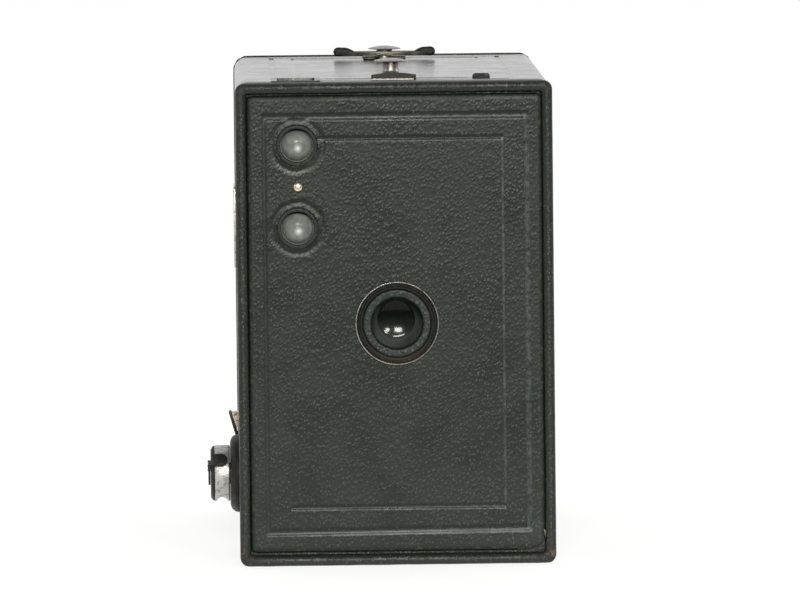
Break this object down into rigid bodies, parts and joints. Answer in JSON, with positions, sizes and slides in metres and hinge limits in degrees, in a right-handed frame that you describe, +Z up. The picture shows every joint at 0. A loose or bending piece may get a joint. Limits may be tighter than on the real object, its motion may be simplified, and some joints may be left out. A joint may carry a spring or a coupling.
{
  "type": "box camera",
  "caption": "Covered box camera for roll film with reflecting finders, rotary shutter, stop and time slides, folding winding key, turn latch and a back door hinged at the bottom.",
  "frame": {"origin": "middle of the underside, on the surface that the camera stands on", "axes": "+Z up, the lens looks towards -Y, +X to the right of somebody who looks at the lens"},
  "size_m": [0.0948, 0.1546, 0.1353],
  "materials": {
    "leatherette": "fine pebble grain, worn at the edges",
    "black_metal": "black lacquer, chipped",
    "worn_nickel": "dull worn nickel plate",
    "worn_rim": "lacquer worn off a turned edge",
    "brass": "polished by handling",
    "steel": "plain",
    "wood": "plain planed board",
    "black_card": "matt black card",
    "finder_glass": "clouded",
    "lens_glass": "clear",
    "mirror": "silvered",
    "red_celluloid": "clear red"
  },
  "bodies": {
    "camera_body": {"outer_box": "leatherette", "front_frame": "leatherette", "front_panel": "leatherette", "lens_bezel": "worn_rim", "lens_surround": "leatherette", "finder_eyelet_upper": "leatherette", "finder_eyelet_lower": "leatherette", "finder_lens_upper": "finder_glass", "finder_lens_lower": "finder_glass", "panel_pin": "brass", "finder_housing_upper": "black_card", "finder_housing_lower": "black_card", "finder_mirror_upper": "mirror", "finder_mirror_lower": "mirror", "finder_glass_upper": "finder_glass", "finder_glass_lower": "finder_glass", "finder_frame_upper": "black_metal", "finder_frame_lower": "worn_nickel", "lens_board": "wood", "lens_cell": "black_metal", "lens": "lens_glass", "lens_retaining_ring": "black_metal", "shutter_disc_pivot": "brass", "shutter_lever_pivot": "brass", "carrier_front_board": "wood", "carrier_side_left": "wood", "carrier_side_right": "wood", "picture_cone": "black_card", "film_gate": "black_metal", "take_up_pin": "steel", "supply_pin_left": "steel", "supply_pin_right": "steel", "key_escutcheon": "black_metal", "strap_stud_front": "worn_nickel", "strap_stud_rear": "worn_nickel", "hinge_leaf_body": "black_metal", "hinge_pin": "steel", "tripod_bush_bottom": "worn_nickel", "tripod_bush_side": "worn_nickel"},
    "stop_slide": {"stop_slide": "black_metal"},
    "time_slide": {"time_slide": "black_metal"},
    "shutter_lever": {"shutter_lever": "black_metal", "shutter_spring": "steel"},
    "shutter_disc": {"shutter_disc": "black_metal"},
    "roller_top": {"roller_top": "steel"},
    "roller_bottom": {"roller_bottom": "steel"},
    "take_up_spool": {"take_up_spool": "wood"},
    "key_washer": {"key_washer": "steel"},
    "winding_key": {"winding_key": "worn_nickel", "key_end_cap": "black_metal"},
    "thumb_piece": {"key_thumb_piece": "black_metal"},
    "back_door": {"back_door": "leatherette", "door_inner_plate": "black_card", "red_window": "red_celluloid", "window_eyelet": "black_metal", "catch_plate": "worn_nickel", "catch_rivet_left": "worn_nickel", "catch_rivet_right": "worn_nickel", "hinge_leaf_door": "black_metal"},
    "latch_bar": {"latch_bar": "worn_nickel"}
  },
  "joints": [
    {"name": "stop_pull", "type": "slide", "parent": "camera_body", "child": "stop_slide", "axis": [0, 0, 1], "range_m": [0, 0.0236]},
    {"name": "time_pull", "type": "slide", "parent": "camera_body", "child": "time_slide", "axis": [0, 0, 1], "range_m": [0, 0.008]},
    {"name": "shutter_release", "type": "hinge", "parent": "camera_body", "child": "shutter_lever", "pos_m": [-0.0285, -0.0562, 0.042], "axis": [0, 1, 0], "range_deg": [0, 26], "deforming": ["shutter_spring"]},
    {"name": "shutter_turn", "type": "hinge", "parent": "camera_body", "child": "shutter_disc", "pos_m": [0.01, -0.05455, 0.052], "axis": [0, 1, 0], "range_deg": [0, 90]},
    {"name": "roller_top_spin", "type": "hinge", "parent": "camera_body", "child": "roller_top", "pos_m": [0, 0.066, 0.124], "axis": [1, 0, 0], "continuous": true},
    {"name": "roller_bottom_spin", "type": "hinge", "parent": "camera_body", "child": "roller_bottom", "pos_m": [0, 0.066, 0.008], "axis": [1, 0, 0], "continuous": true},
    {"name": "key_pull", "type": "slide", "parent": "camera_body", "child": "key_washer", "axis": [-1, 0, 0], "range_m": [0, 0.007]},
    {"name": "key_spin", "type": "hinge", "parent": "key_washer", "child": "winding_key", "pos_m": [-0.045, -0.034, 0.0216], "axis": [-1, 0, 0], "continuous": true},
    {"name": "take_up_spin", "type": "hinge", "parent": "camera_body", "child": "take_up_spool", "pos_m": [0, -0.034, 0.0216], "axis": [-1, 0, 0], "continuous": true},
    {"name": "thumb_fold", "type": "hinge", "parent": "winding_key", "child": "thumb_piece", "pos_m": [-0.05125, -0.034, 0.0237], "axis": [0, 1, 0], "range_deg": [0, 90]},
    {"name": "door_open", "type": "hinge", "parent": "camera_body", "child": "back_door", "pos_m": [0, 0.077, 0.0015], "axis": [-1, 0, 0], "range_deg": [0, 90]},
    {"name": "latch_turn", "type": "hinge", "parent": "camera_body", "child": "latch_bar", "pos_m": [0, 0.053, 0.1332], "axis": [0, 0, 1], "range_deg": [0, 90]}
  ],
  "couplings": [
    {"joint": "shutter_turn", "follows": "shutter_release", "ratio": 3.4615},
    {"joint": "take_up_spin", "follows": "key_spin", "ratio": 1}
  ]
}
